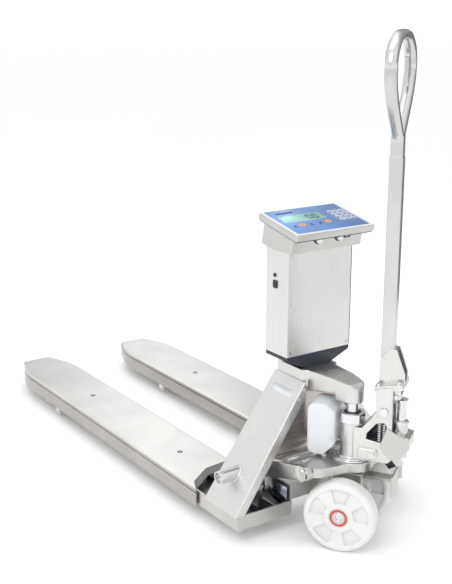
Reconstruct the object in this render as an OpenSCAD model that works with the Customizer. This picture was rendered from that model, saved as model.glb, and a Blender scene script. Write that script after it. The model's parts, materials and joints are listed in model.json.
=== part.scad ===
// Weighing pallet truck: fork frame, lifting linkage, steered pump unit and weight indicator.
// +X runs towards the fork tips, +Z is up, and the origin is on the floor under the middle.

/* [Forks] */
// Overall width over both forks
forks_w = 560; // [540:1:600]
// Width of one fork shell
fork_w = 176; // [170:1:182]
// Height of the fork top above the floor
fork_top = 85; // [84:1:88]
// Distance from the steering axis to the fork tip
fork_tip = 1462; // [1400:1:1520]
// Thickness of the fork shell sheet
shell_t = 3; // [2:0.5:3]

/* [Lift] */
// How far the forks rise
lift = 115; // [100:1:115]
// Length of a load roller arm
roller_arm = 135; // [133:1:140]
// Radius of a load roller
roller_r = 37; // [35:0.5:37]

/* [Steering] */
// Angle at which the pump unit stands steered
steer_angle = 35; // [0:1:40]
// Radius of a steering wheel
wheel_r = 90; // [88:0.5:90]
// Width of a steering wheel
wheel_w = 50; // [40:1:50]
// Gap between the two steering wheels
wheel_gap = 122; // [110:1:122]

/* [Tiller] */
// Height of the top of the grip
grip_top = 1228; // [1180:1:1260]
// Width over the grip loop
grip_w = 236; // [210:1:250]

/* [Column] */
// Width of the indicator column
column_w = 201; // [190:1:210]
// Depth of the indicator column
column_d = 88; // [80:1:92]
// Tilt of the indicator face
face_tilt = 11.6; // [8:0.1:14]

/* [Hidden] */
$fn = 64;

// Lengths below are measured from the steering axis; this moves them to the part's own origin.
axis_x = -657.01;
run = 0.05;                            // radial running clearance
far = 2000;                            // longer than the part, for cutting tools

fork_y = forks_w / 2 - fork_w / 2;     // centre line of the left fork
shell_x0 = 272;
shell_bottom = 35;
taper_x = 1345;
nose_x = 1395;
nose_r = 24;
tip_half = 46;
inner_half = fork_w / 2 - 8;
inner_x0 = 97;
inner_x1 = 1430;
channel_floor = 38;
channel_top = 76;
cell_x = [491, 1015];
screw_sink = 1.8;
wall = 5;

// Lifting linkage, worked out so that every joint turns in step with the lift
shaft_x = 178;
shaft_z = 150;
shaft_r = 17;
arm_reach = 172.5;
arm_rise = 47;
arm_angle = atan2(arm_rise, arm_reach) + atan2(lift - arm_rise, arm_reach);
crank_r = 50;
rod_stroke = 2 * crank_r * sin(arm_angle / 2);
crank_pin_x = shaft_x - crank_r * sin(arm_angle / 2);
crank_pin_z = shaft_z - crank_r * cos(arm_angle / 2);
pivot_x = 1100;
pivot_z = 30;
roller_dz = roller_r - pivot_z;
roller_turn = asin(roller_dz / roller_arm) + asin((lift - roller_dz) / roller_arm);
roller_x = pivot_x + sqrt(pow(roller_arm, 2) - pow(roller_dz, 2));
tip_pin_r = rod_stroke / 2 / sin(roller_turn / 2);
tip_pin_x = pivot_x - tip_pin_r * sin(roller_turn / 2);
tip_pin_z = pivot_z + tip_pin_r * cos(roller_turn / 2);
base_pin_x = shaft_x - arm_reach;
base_pin_z = shaft_z + arm_rise;
slot_near = arm_reach - 10;
slot_far = norm([arm_reach, lift - arm_rise]) + 10;
pin_r = 8;
arm_y = 137;
arm_t = 16;
rod_y = 160;
rod_t = 12;

// Legs: flat sheets that lean in towards the head
leg_foot = [280, 76];
leg_head = [60, 372];
leg_slope = atan2(leg_head[1] - leg_foot[1], leg_foot[0] - leg_head[0]);
leg_depth = 25;

// Head and ram
ram_r = 15.5;
ram_bottom = 178;
beam_top = 404;
beam_half = 40;
head_r = 27;
head_bottom = 352;

// Column and indicator
column_x = 134.5;
column_z0 = 441;
column_z1 = 706;
sheet = 2;
face_front = [76.2, 760.3];
face_depth = 154.5;
face_half = 119.6;
bezel_t = 17;
housing_half = 108;
housing_front = 26;
housing_back = 10;
gland_y = 32;
gland_drop = -29;
lcd_x = [75, 114];
lcd_y = [-30, 96];
screw_rows = [452, 576, 698];

// Base plate and pump
base_z0 = 185;
base_t = 24;
base_top = base_z0 + base_t;
collar_t = 4;
neck_r = 24;
pump_r = 28;
pump_z0 = base_top + collar_t + 0.2;
gland_z = 300;
gland_top = 325;
cheek_in = 18;
cheek_out = 30;
hinge_a = 86;
hinge_z = 349;
hinge_r = 10;
plunger_a = 120;
plunger_r = 11;
cam_a = 110;
cam_z = 384;
cam_r = 11;
flange_a0 = 62;
flange_a1 = 128;
flange_z = 403;
flange_tilt = 10;
flange_t = 8;
foot_t = 5;
shaft_a0 = 67;
shaft_a1 = 99;
shaft_half = 14;
shaft_top = 947;
throat_half = 16;
grip_d = 30;
grip_bar = 25;
axle_z = wheel_r;
axle_r = 12.5;
bearing_r = 23.5;

// ---------- shared shapes ----------

module placed() {
    translate([axis_x, 0, 0]) children();
}

module steered() {
    placed() rotate([0, 0, steer_angle]) children();
}

module on_left_fork() {
    placed() translate([0, fork_y, 0]) children();
}

module on_right_fork() {
    placed() translate([0, -fork_y, 0]) children();
}

// A cylinder along Y, centred on y
module rod_y(r, x, z, y0, y1) {
    translate([x, y1, z]) rotate([90, 0, 0]) cylinder(r = r, h = y1 - y0);
}

// An outline drawn in X and Z, made solid from y0 to y1
module slab_xz(y0, y1) {
    translate([0, y1, 0]) rotate([90, 0, 0]) linear_extrude(y1 - y0) children();
}

// An outline drawn in Y and Z, made solid from x0 to x1
module slab_yz(x0, x1) {
    translate([x0, 0, 0]) rotate([90, 0, 90]) linear_extrude(x1 - x0) children();
}

module box(x, y, z) {
    translate([x[0], y[0], z[0]]) cube([x[1] - x[0], y[1] - y[0], z[1] - z[0]]);
}

// The points of a quarter turn around a corner
function arc(c, r, a0, a1, n = 8) =
    [for (i = [0:n]) c + r * [cos(a0 + (a1 - a0) * i / n), sin(a0 + (a1 - a0) * i / n)]];

function round_rect(a, b, r) = concat(
    arc([a[0] + r, a[1] + r], r, 180, 270),
    arc([b[0] - r, a[1] + r], r, 270, 360),
    arc([b[0] - r, b[1] - r], r, 0, 90),
    arc([a[0] + r, b[1] - r], r, 90, 180));

function mirrored(p) = concat(p, [for (i = [len(p) - 1:-1:0]) [p[i][0], -p[i][1]]]);

function mirrored_x(p) = concat(p, [for (i = [len(p) - 1:-1:0]) [-p[i][0], p[i][1]]]);

// ---------- forks ----------

// Plan of one shell: straight sides, then a taper to the tip, with the outer rear corner cut off
module shell_plan(inset) {
    half = fork_w / 2 - inset;
    tip = fork_tip - inset;
    nose = tip_half - inset;
    polygon(concat(
        [[shell_x0 - inset, half], [taper_x, half]],
        arc([tip - 12, nose - 12], 12, 60, 0, 4),
        arc([tip - 12, 12 - nose], 12, 0, -60, 4),
        [[taper_x, -half], [shell_x0 + 100 - inset, -half], [shell_x0 + 94 - inset, -6],
        [shell_x0 + 40 - inset, half - 20]]));
}

module shell_profile() {
    polygon(concat(
        [[shell_x0 - 20, shell_bottom], [nose_x, shell_bottom]],
        arc([fork_tip - nose_r, fork_top - 26], nose_r, -35, 50, 8),
        [[fork_tip - 14, fork_top], [shell_x0 - 20, fork_top]]));
}

// The hollow under the sheet, seen from the side
module shell_hollow() {
    polygon(concat(
        [[shell_x0 - 20, -1], [fork_tip - 7, -1], [fork_tip - 7, fork_top - 40]],
        arc([fork_tip - nose_r, fork_top - 26], nose_r - shell_t, -10, 50, 6),
        [[fork_tip - 14 - shell_t, fork_top - shell_t], [shell_x0 - 20, fork_top - shell_t]]));
}

module fork_shell() {
    color("gainsboro") difference() {
        intersection() {
            translate([0, 0, shell_bottom]) linear_extrude(fork_top - shell_bottom) shell_plan(0);
            slab_xz(-fork_w, fork_w) shell_profile();
        }
        intersection() {
            translate([0, 0, -1]) linear_extrude(fork_top - shell_t + 1) shell_plan(shell_t);
            slab_xz(-fork_w, fork_w) shell_hollow();
        }
        for (x = cell_x) translate([x, 0, 0]) {
            cylinder(r = 4.5, h = fork_top);
            translate([0, 0, fork_top - screw_sink]) cylinder(r = 7.5, h = far);
        }
    }
}

module fork_shell_left() {
    on_left_fork() fork_shell();
}

module fork_shell_right() {
    on_right_fork() mirror([0, 1, 0]) fork_shell();
}

module fork_screws() {
    color("silver") placed() for (y = [-fork_y, fork_y], x = cell_x) translate([x, y, 0]) difference() {
        union() {
            translate([0, 0, fork_top - screw_sink]) cylinder(r = 7.5, h = screw_sink);
            translate([0, 0, fork_top - shell_t]) cylinder(r = 4.5, h = shell_t - screw_sink);
        }
        translate([0, 0, fork_top - 1]) cylinder(r = 3.5, h = 2, $fn = 6);
    }
}

// Shear beams that carry the shell on the inner fork
module load_cells() {
    color("darkgray") placed() for (y = [-fork_y, fork_y], x = cell_x) translate([x, y, 0]) {
        box([-110, 20], [-16, 16], [channel_floor + wall + 6, fork_top - shell_t - 3]);
        box([-110, -75], [-16, 16], [channel_floor + wall, channel_floor + wall + 6]);
        translate([0, 0, fork_top - shell_t - 3]) cylinder(r = 12, h = 3);
    }
}

module channel_plan(inset) {
    half = inner_half - inset;
    tip_x = inner_x1 - inset;
    polygon([[inner_x0 + inset, -half], [taper_x - 10, -half], [tip_x, inset - 40],
        [tip_x, 40 - inset], [taper_x - 10, half], [inner_x0 + inset, half]]);
}

// Open-topped channel that carries the load cells, with ears for the roller frame's pin
module inner_fork(side) {
    ear_r = 18;
    half = inner_half;
    heel_t = 6;
    heel_x1 = 250;
    heel_top = 118;
    color("silver") difference() {
        union() {
            difference() {
                translate([0, 0, channel_floor]) linear_extrude(channel_top - channel_floor)
                    channel_plan(0);
                translate([0, 0, channel_floor + wall]) linear_extrude(channel_top) channel_plan(wall);
                box([1050, 1300], [-52, 52], [0, 60]);
            }
            for (y = [-half, half - wall]) slab_xz(y, y + wall) union() {
                translate([pivot_x, pivot_z]) circle(r = ear_r);
                translate([pivot_x - 22, pivot_z]) square([44, 20]);
            }
            box([inner_x0, heel_x1], side > 0 ? [-half - heel_t, -half] : [half, half + heel_t],
                [channel_floor, heel_top]);
        }
        rod_y(pin_r, pivot_x, pivot_z, -far, far);
    }
}

module inner_fork_left() {
    on_left_fork() inner_fork(1);
}

module inner_fork_right() {
    on_right_fork() inner_fork(-1);
}

// Headed pins through the ears, on which the roller frames swing
module fork_pivot_pins() {
    half = inner_half;
    head_t = 5;
    color("silver") placed() for (y = [-fork_y, fork_y]) translate([0, y, 0]) {
        rod_y(pin_r, pivot_x, pivot_z, -half - head_t, half + head_t);
        rod_y(12, pivot_x, pivot_z, half, half + head_t);
        rod_y(12, pivot_x, pivot_z, -half - head_t, -half);
    }
}

// ---------- frame ----------

// Section of a leaning leg in Y and Z: the sheet, and its folded edges up to the given depth
module leg_section(from, to) {
    run_out = 60;
    polygon([for (p = [[0, from], [1, from], [1, to], [0, to]])
        (p[0] == 0 ? leg_foot + [cos(leg_slope), -sin(leg_slope)] * run_out
                   : leg_head - [cos(leg_slope), -sin(leg_slope)] * run_out)
        - p[1] * [sin(leg_slope), cos(leg_slope)]]);
}

module leg_outline(inset) {
    polygon([[94 + inset, leg_foot[1] - 40], [232 - inset, leg_foot[1] - 40],
        [240 - inset, leg_head[1] + 40], [116 + inset, leg_head[1] + 40]]);
}

module leg() {
    color("lightgray") difference() {
        intersection() {
            slab_yz(0, 400) leg_section(0, leg_depth);
            slab_xz(0, 400) leg_outline(0);
            box([0, far], [56, far], [channel_top, beam_top]);
        }
        intersection() {
            slab_yz(0, 400) leg_section(wall, leg_depth + 10);
            slab_xz(0, 400) leg_outline(wall);
        }
        rod_y(shaft_r + run, shaft_x, shaft_z, 0, 400);
    }
}

module leg_left() {
    placed() leg();
}

module leg_right() {
    placed() mirror([0, 1, 0]) leg();
}

module head_plan() {
    polygon(mirrored(concat(
        [for (a = [180:-10:100]) head_r * [cos(a), sin(a)]],
        [[50, 37], [90, beam_half], [118, beam_half + 4], [128, 56], [232, 56]])));
}

module head_profile() {
    polygon([[-head_r - 1, head_bottom], [-head_r - 1, 388], [-12, 400], [40, beam_top], [232, beam_top],
        [232, 345], [137, 345], [head_r + 2, 369], [head_r, head_bottom]]);
}

module head_beam() {
    color("silver") placed() difference() {
        intersection() {
            translate([0, 0, 300]) linear_extrude(200) head_plan();
            slab_xz(-100, 100) head_profile();
        }
        translate([0, 0, head_bottom - 1]) cylinder(r = ram_r, h = 31);
    }
}

module lift_ram() {
    socket = 30;
    color("whitesmoke") placed() translate([0, 0, ram_bottom])
        cylinder(r = ram_r, h = head_bottom + socket - ram_bottom);
}

// Sheet that closes the frame in front of the tank, with a rolled lower edge
module apron_sheet() {
    roll_r = 10;
    roll_z = 206;
    top_z = 345;
    x0 = 128;
    x1 = 131;
    edge = function(z) leg_foot[0] - (z - leg_foot[1]) / tan(leg_slope) - leg_depth / sin(leg_slope) - 1;
    color("rosybrown") placed() {
        slab_yz(x0, x1) polygon([[-edge(roll_z), roll_z], [edge(roll_z), roll_z],
            [edge(top_z), top_z], [-edge(top_z), top_z]]);
        difference() {
            rod_y(roll_r, x1 - roll_r, roll_z, -edge(roll_z), edge(roll_z));
            rod_y(roll_r - x1 + x0, x1 - roll_r, roll_z, -far, far);
            box([0, far], [-far, far], [roll_z, far]);
        }
    }
}

module cross_beam() {
    half = fork_y - inner_half - 6;
    color("dimgray") placed() difference() {
        box([150, 200], [-half, half], [46, 92]);
        box([150 + wall, 200 - wall], [-far, far], [46 + wall, 92 - wall]);
    }
}

// ---------- column and indicator ----------

module column_shell() {
    x0 = column_x + sheet;
    x1 = column_x + column_d;
    half = column_w / 2;
    color("lightgray") placed() difference() {
        box([x0, x1], [-half, half], [column_z0, column_z1]);
        box([x0 - 1, x1 - sheet], [sheet - half, half - sheet], [column_z0 + sheet, column_z1 + 1]);
        translate([185, half, 642]) rotate([90, 0, 0]) cylinder(r = 5, h = 2 * sheet, center = true);
        box([177, 191], [half - 5, half + 5], [609, 629]);
    }
}

module column_cover() {
    half = column_w / 2;
    color("gainsboro") placed() difference() {
        box([column_x, column_x + sheet], [-half, half], [column_z0, column_z1]);
        for (z = screw_rows, y = [-90, 90]) translate([column_x - 1, y, z]) rotate([0, 90, 0])
            cylinder(r = 2, h = 5);
    }
}

module column_screws() {
    color("silver") placed() for (z = screw_rows, y = [-90, 90])
        translate([column_x, y, z]) rotate([0, 90, 0]) {
        translate([0, 0, -1.5]) cylinder(r = 4, h = 1.5);
        cylinder(r = 2, h = 8);
    }
}

// Dark foot: a rim under the column, then a taper down to the head beam
module column_foot() {
    half = column_w / 2;
    rim = 10;
    color("darkslategray") placed() {
        box([column_x, column_x + column_d], [-half, half], [column_z0 - rim, column_z0]);
        intersection() {
            slab_yz(column_x, column_x + column_d) polygon([[-44, beam_top], [44, beam_top],
                [half, column_z0 - rim], [-half, column_z0 - rim]]);
            slab_xz(-half, half) polygon([[column_x + 4, beam_top], [column_x + column_d - 4, beam_top],
                [column_x + column_d, column_z0 - rim], [column_x, column_z0 - rim]]);
        }
    }
}

module battery_pack() {
    color("dimgray") placed() box([150, 215], [-55, 55], [column_z0 + sheet, 540]);
}

// Local frame of the indicator face: x back, z out of the face, origin at the front edge of its top
module on_face() {
    placed() translate([face_front[0], 0, face_front[1]]) rotate([0, -face_tilt, 0]) children();
}

module housing_outline(inset) {
    polygon([[housing_front + inset, -bezel_t - 60], [face_depth - housing_back - inset, -bezel_t - 60],
        [face_depth - housing_back - inset, -bezel_t], [housing_front + inset, -bezel_t]]);
}

module indicator_housing() {
    color("silver") difference() {
        intersection() {
            on_face() slab_xz(-housing_half, housing_half) housing_outline(0);
            placed() box([0, far], [-far, far], [column_z1, far]);
        }
        intersection() {
            on_face() slab_xz(sheet - housing_half, housing_half - sheet) translate([0, 1])
                housing_outline(sheet);
            placed() box([0, far], [-far, far], [column_z1 + sheet, far]);
        }
        for (y = [-gland_y, gland_y]) on_face() translate([housing_front, y, gland_drop])
            rotate([0, 90, 0]) cylinder(r = 5, h = 4 * sheet, center = true);
    }
}

module indicator_bezel() {
    color("silver") on_face() difference() {
        box([0, face_depth], [-face_half, face_half], [-bezel_t, -0.5]);
        box([sheet, face_depth - sheet], [sheet - face_half, face_half - sheet], [-bezel_t - 1, -3]);
        box(lcd_x, lcd_y, [-far, far]);
    }
}

module keypad_film() {
    color("cornflowerblue") on_face() difference() {
        box([6, face_depth - 6], [6 - face_half, face_half - 6], [-0.5, 0]);
        box(lcd_x, lcd_y, [-far, far]);
    }
}

module lcd_window() {
    color("paleturquoise") on_face() box(lcd_x, lcd_y, [-3, -0.5]);
}

module circuit_board() {
    color("darkgreen") on_face() box([30, 130], [-95, 100], [-13, -11]);
}

module cable_glands() {
    color("silver") for (y = [-gland_y, gland_y]) on_face() translate([housing_front, y, gland_drop])
        rotate([0, -90, 0]) {
        cylinder(r = 8.5, h = 5);
        translate([0, 0, -8]) cylinder(r = 4.9, h = 8);
    }
}

module charge_socket() {
    color("black") {
        on_face() box([housing_front - 3, housing_front], [-68, -50], [-33, -25]);
        placed() translate([185, column_w / 2 + 3, 642]) rotate([90, 0, 0]) cylinder(r = 4.9, h = 10);
    }
}

module rocker_switch() {
    color("black") placed() translate([184, column_w / 2, 619]) {
        box([-6.6, 6.6], [-4, 3], [-9.6, 9.6]);
        translate([-6.6, 0, 0]) rotate([0, 90, 0]) cylinder(r = 4, h = 13.2);
    }
}

// ---------- base ----------

// Plan of the base plate: a blunt nose towards the operator and two arms back to the linkage pins
module base_plan() {
    nose_r = 55;
    polygon(mirrored(concat(
        [for (a = [180:-12:132]) nose_r * [cos(a), sin(a)]],
        [[-24, 112], [-12, 130], [25, 130], [34, 108], [58, 58], [66, 40]])));
}

module base_plate() {
    color("silver") placed() difference() {
        translate([0, 0, base_z0]) linear_extrude(base_t) base_plan();
        translate([0, 0, base_z0 - 1]) cylinder(r = neck_r + run, h = base_t + 2);
        for (s = [-1, 1]) rod_y(pin_r, base_pin_x, base_pin_z, s > 0 ? 100 : -131, s > 0 ? 131 : -100);
    }
}

module base_collar() {
    color("silver") placed() translate([0, 0, base_top]) difference() {
        cylinder(r = 50, h = collar_t);
        translate([0, 0, -1]) cylinder(r = neck_r + run, h = collar_t + 2);
    }
}

module thrust_ring() {
    color("gray") placed() translate([0, 0, base_z0 - 6]) difference() {
        cylinder(r = 36, h = 6);
        translate([0, 0, -1]) cylinder(r = neck_r + run, h = 8);
    }
}

// Stub pins that the crank arms bear on
module base_pins() {
    color("silver") placed() for (s = [0, 1]) mirror([0, s, 0]) {
        rod_y(pin_r, base_pin_x, base_pin_z, 100, 154);
        rod_y(15, base_pin_x, base_pin_z, 153.5, 158);
    }
}

module grease_cap() {
    color("white") placed() translate([38, 55, base_top]) {
        cylinder(r = 7, h = 2.5);
        cylinder(r = 5, h = 6);
    }
}

// ---------- pump unit ----------

// In the steered frame the operator stands on the -X side, so outlines give distances as a and use -a.
module slab_az(y0, y1) {
    mirror([1, 0, 0]) slab_xz(y0, y1) children();
}

module at_a(a, z, y0, y1, r) {
    rod_y(r, -a, z, y0, y1);
}

module pump_side() {
    polygon([[10, pump_z0], [96, pump_z0], [104, 222], [127, 232], [148, 258], [147, 284],
        [104, 292], [104, hinge_z], [68, hinge_z], [52, 322], [30, 296], [10, 296]]);
}

module pump_body() {
    color("lightgray") steered() difference() {
        union() {
            translate([0, 0, pump_z0]) cylinder(r = pump_r, h = gland_z - pump_z0);
            translate([0, 0, 176]) cylinder(r = neck_r, h = pump_z0 - 176);
            slab_az(-cheek_out, cheek_out) pump_side();
            at_a(hinge_a, hinge_z, -cheek_out, cheek_out, 18);
        }
        slab_az(-cheek_in, cheek_in) polygon([[40, 318], [62, 294], [92, 294], [92, far], [20, far]]);
        slab_az(-cheek_in, cheek_in) polygon([[80, 294], [110, 294], [110, far], [80, far]]);
        slab_az(-far, far) polygon([[42, 270], [44, 285], [66, 312], [84, 316], [91, 310], [91, 262]]);
        translate([0, 0, 100]) cylinder(r = ram_r + run, h = 300);
        at_a(hinge_a, hinge_z, -far, far, hinge_r + run);
        translate([-plunger_a, 0, 225]) cylinder(r = 17, h = 100);
    }
}

module gland_nut() {
    color("silver") steered() translate([0, 0, gland_z]) difference() {
        cylinder(r = 33, h = gland_top - gland_z, $fn = 8);
        translate([0, 0, -1]) cylinder(r = ram_r + run, h = 40);
    }
}

module oil_tank() {
    color("white") steered() intersection() {
        slab_xz(-40, 40) polygon(concat(
            [[34, 330], [34, 246]], [[62, 216]],
            arc([82, 238], 22, 270, 360), arc([79, 323], 25, 0, 90), [[56, 348]]));
        translate([0, 0, 200]) linear_extrude(200) polygon(round_rect([34, -40], [104, 40], 10));
    }
}

module axle_block() {
    color("gray") steered() difference() {
        union() {
            slab_xz(-34, 34) polygon(concat(arc([0, axle_z], 26, 180, 360, 12),
                [[36, 150], [36, 176], [-36, 176], [-36, 150]]));
            translate([0, 0, 176]) difference() {
                cylinder(r = 32, h = 3);
                translate([0, 0, -1]) cylinder(r = neck_r, h = 5);
            }
        }
        rod_y(axle_r, 0, axle_z, -far, far);
    }
}

module steer_axle() {
    half = wheel_gap / 2 + wheel_w;
    color("silver") steered() {
        rod_y(axle_r, 0, axle_z, -half - 6, half + 6);
        for (s = [0, 1]) mirror([0, s, 0]) {
            rod_y(17, 0, axle_z, 34, wheel_gap / 2 - 0.3);
            difference() {
                translate([0, half + 4, axle_z]) rotate([90, 0, 0]) cylinder(r = 17, h = 6, $fn = 6);
                rod_y(axle_r, 0, axle_z, 0, far);
            }
        }
    }
}

module rear_guard() {
    color("lightgray") steered() {
        box([-112, -107], [-34, 34], [128, 181]);
        box([-107, -36], [-15, 15], [160, 168]);
    }
}

module plunger_housing() {
    color("silver") steered() translate([-plunger_a, 0, 225]) difference() {
        cylinder(r = 17, h = 93);
        translate([0, 0, 8]) cylinder(r = plunger_r + run, h = 90);
    }
}

module pump_plunger() {
    color("whitesmoke") steered() translate([-plunger_a, 0, 0]) {
        translate([0, 0, 284]) cylinder(r = plunger_r, h = 84);
        translate([0, 0, 368]) cylinder(r = 15, h = cam_z - cam_r - 368);
    }
}

// ---------- steering wheels ----------

module wheel() {
    recess_r0 = 36;
    recess_r1 = 72;
    color("white") difference() {
        rotate([90, 0, 0]) rotate_extrude() polygon([[bearing_r, -wheel_w / 2 + 3], [34, -wheel_w / 2],
            [wheel_r - 12, -wheel_w / 2], [wheel_r - 3, 4 - wheel_w / 2], [wheel_r, 12 - wheel_w / 2],
            [wheel_r, wheel_w / 2 - 12], [wheel_r - 3, wheel_w / 2 - 4], [wheel_r - 12, wheel_w / 2],
            [34, wheel_w / 2], [bearing_r, wheel_w / 2 - 3]]);
        for (k = [0:4], s = [-1, 1]) rotate([0, 72 * k + 21, 0])
            slab_xz(s > 0 ? wheel_w / 2 - 14 : -wheel_w / 2 - 1, s > 0 ? wheel_w / 2 + 1 : 14 - wheel_w / 2)
            polygon(concat(arc([0, 0], recess_r0, -16, 16, 4), arc([0, 0], recess_r1, 16, -16, 8)));
    }
}

module wheel_bearing() {
    color("indianred") rotate([90, 0, 0]) difference() {
        cylinder(r = bearing_r, h = wheel_w - 8, center = true);
        cylinder(r = axle_r + run, h = wheel_w, center = true);
    }
}

module wheel_seat(side) {
    steered() translate([0, side * (wheel_gap + wheel_w) / 2, axle_z]) children();
}

module wheel_left() {
    wheel_seat(1) wheel();
}

module wheel_right() {
    wheel_seat(-1) wheel();
}

module wheel_bearing_left() {
    wheel_seat(1) wheel_bearing();
}

module wheel_bearing_right() {
    wheel_seat(-1) wheel_bearing();
}

// ---------- tiller ----------

// Local frame of the tilted joint between the yoke and the tiller's foot
module on_flange() {
    translate([-flange_a0, 0, flange_z]) rotate([0, flange_tilt, 0]) children();
}

module beside_flange(z) {
    on_flange() box([-300, 300], [-far, far], z);
}

module flange_plate(z) {
    on_flange() box([flange_a0 - flange_a1, 2], [-38, 38], z);
}

module tiller_yoke() {
    gap = 0.4;
    color("lightgray") steered() {
        difference() {
            union() {
                flange_plate([-flange_t, 0]);
                for (y = [[cheek_out + gap, 41], [-41, -cheek_out - gap]]) slab_az(y[0], y[1]) union() {
                    translate([hinge_a, hinge_z]) circle(r = 20);
                    polygon([[66, hinge_z], [106, hinge_z], [104, 420], [64, 420]]);
                }
                for (y = [[cam_r + 5, 24], [-24, -cam_r - 5]]) slab_az(y[0], y[1]) union() {
                    translate([cam_a, cam_z]) circle(r = 9);
                    polygon([[101, cam_z], [119, cam_z], [122, 430], [96, 430]]);
                }
            }
            beside_flange([0, far]);
            at_a(hinge_a, hinge_z, -far, far, hinge_r);
            at_a(cam_a, cam_z, -far, far, 5);
        }
    }
}

module tiller_pin() {
    color("silver") steered() {
        at_a(hinge_a, hinge_z, -43, 43, hinge_r);
    }
}

module cam_roller() {
    color("silver") steered() {
        at_a(cam_a, cam_z, -cam_r - 4.8, cam_r + 4.8, cam_r);
        for (s = [-1, 1]) at_a(cam_a, cam_z, s > 0 ? cam_r + 4.8 : -26, s > 0 ? 26 : -cam_r - 4.8, 5);
    }
}

module tiller_foot() {
    color("lightgray") steered() {
        flange_plate([0, foot_t]);
        for (y = [[shaft_half, shaft_half + 4], [-shaft_half - 4, -shaft_half]]) difference() {
            slab_az(y[0], y[1]) polygon([[shaft_a0 - 1, 380], [shaft_a0 - 1, 470], [shaft_a1 - 8, 500],
                [106, 498], [flange_a1 - 1, 440], [flange_a1 - 1, 380]]);
            beside_flange([-far, foot_t]);
        }
        for (x = [-8, flange_a0 - flange_a1 + 10], y = [-30, 30]) on_flange() translate([x, y, foot_t])
            cylinder(r = 6.5, h = 6, $fn = 6);
    }
}

module tiller_shaft() {
    color("gainsboro") steered() difference() {
        intersection() {
            box([-shaft_a1, -shaft_a0], [-shaft_half, shaft_half], [flange_z, shaft_top]);
            beside_flange([foot_t, far]);
        }
        box([3 - shaft_a1, -shaft_a0 - 3], [3 - shaft_half, shaft_half - 3], [flange_z, shaft_top + 1]);
    }
}

// Half width of the grip loop's outer edge at a height fraction from 0 at its throat to 1 at its top
function loop_half(f) = throat_half + (grip_w / 2 - throat_half) * pow(sin(min(90, 130 * f)), 1.15)
    * (f > 0.69 ? 1 - 0.55 * pow((f - 0.69) / 0.31, 2.6) : 1);

module loop_outline(inset) {
    n = 24;
    z0 = shaft_top + 24 + inset * 1.6;
    z1 = grip_top - inset;
    half = [for (i = [0:n]) [loop_half(i / n) - inset, z0 + (z1 - z0) * i / n]];
    polygon(mirrored_x([for (p = half) [max(p[0], 0.5), p[1]]]));
}

module tiller_grip() {
    mid = (shaft_a0 + shaft_a1) / 2;
    color("gainsboro") steered() difference() {
        slab_yz(-mid - grip_d / 2, grip_d / 2 - mid) union() {
            loop_outline(0);
            translate([-throat_half, shaft_top]) square([2 * throat_half, 26]);
        }
        slab_yz(-far, far) loop_outline(grip_bar);
        box([-mid - 6, 6 - mid], [-6, 6], [shaft_top - 1, 1012]);
        box([-mid - 5, 5 - mid], [-(grip_w / 2), 0], [1126, 1140]);
    }
}

// Hand lever inside the loop; it pulls the release rod in the shaft
module control_lever() {
    mid = (shaft_a0 + shaft_a1) / 2;
    color("silver") steered() {
        slab_yz(-mid - 4.5, 4.5 - mid) union() {
            translate([-93, 1133]) circle(r = 6);
            polygon([[-93, 1127], [-93, 1139], [-74, 1140], [-66, 1166], [-58, 1164], [-60, 1128],
                [-62, 1099], [-68, 1098], [-76, 1127]]);
        }
    }
}

module control_rod() {
    mid = (shaft_a0 + shaft_a1) / 2;
    color("silver") steered() translate([-mid, 0, 430]) cylinder(r = 3, h = 560);
}

// ---------- lifting linkage ----------

module torsion_shaft() {
    color("silver") placed() difference() {
        rod_y(shaft_r, shaft_x, shaft_z, -275, 275);
        rod_y(shaft_r - 3.5, shaft_x, shaft_z, -far, far);
    }
}

module crank() {
    arm = atan2(arm_rise, -arm_reach);
    color("lightgray") difference() {
        slab_xz(arm_y, arm_y + arm_t) difference() {
            union() {
                translate([shaft_x, shaft_z]) circle(r = 30);
                translate([shaft_x, shaft_z]) rotate(arm)
                    polygon([[0, -24], [slot_far - 4, -17], [slot_far - 4, 17], [0, 24]]);
                translate([shaft_x, shaft_z]) rotate(arm) translate([slot_far - 4, 0]) circle(r = 17);
                translate([crank_pin_x, crank_pin_z]) circle(r = 16);
                translate([shaft_x, shaft_z]) rotate(270 - arm_angle / 2) translate([0, -20])
                    square([crank_r, 40]);
            }
            translate([shaft_x, shaft_z]) rotate(arm) {
                translate([slot_near, -pin_r - 2.5]) square([slot_far - slot_near, 2 * pin_r + 5]);
                translate([slot_near, 0]) circle(r = pin_r + 2.5);
                translate([slot_far, 0]) circle(r = pin_r + 2.5);
            }
        }
        rod_y(shaft_r, shaft_x, shaft_z, 0, far);
    }
    color("silver") rod_y(7, crank_pin_x, crank_pin_z, arm_y + arm_t, rod_y + rod_t + 4);
}

module crank_left() {
    placed() crank();
}

module crank_right() {
    placed() mirror([0, 1, 0]) crank();
}

// Push rod: a flag at the heel end for the crank pin, and a short upright slot at the tip end
module push_rod() {
    bar_z = tip_pin_z;
    color("gray") difference() {
        slab_xz(rod_y, rod_y + rod_t) difference() {
            union() {
                translate([crank_pin_x - 8, bar_z - 7]) square([tip_pin_x - crank_pin_x + 8, 14]);
                polygon([[crank_pin_x - 14, bar_z - 7], [crank_pin_x + 60, bar_z - 7],
                    [crank_pin_x + 14, crank_pin_z], [crank_pin_x - 14, crank_pin_z]]);
                translate([crank_pin_x, crank_pin_z]) circle(r = 14);
                translate([tip_pin_x, bar_z]) circle(r = 12);
            }
            translate([tip_pin_x - 6.4, bar_z - 1]) square([12.8, 8.5]);
            translate([tip_pin_x, bar_z - 1]) circle(r = 6.4);
            translate([tip_pin_x, bar_z + 7.5]) circle(r = 6.4);
            translate([tip_pin_x - 20, bar_z + 9.5]) square([40, 30]);
        }
        rod_y(7 + run, crank_pin_x, crank_pin_z, 0, far);
    }
}

module push_rod_left() {
    placed() push_rod();
}

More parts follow.
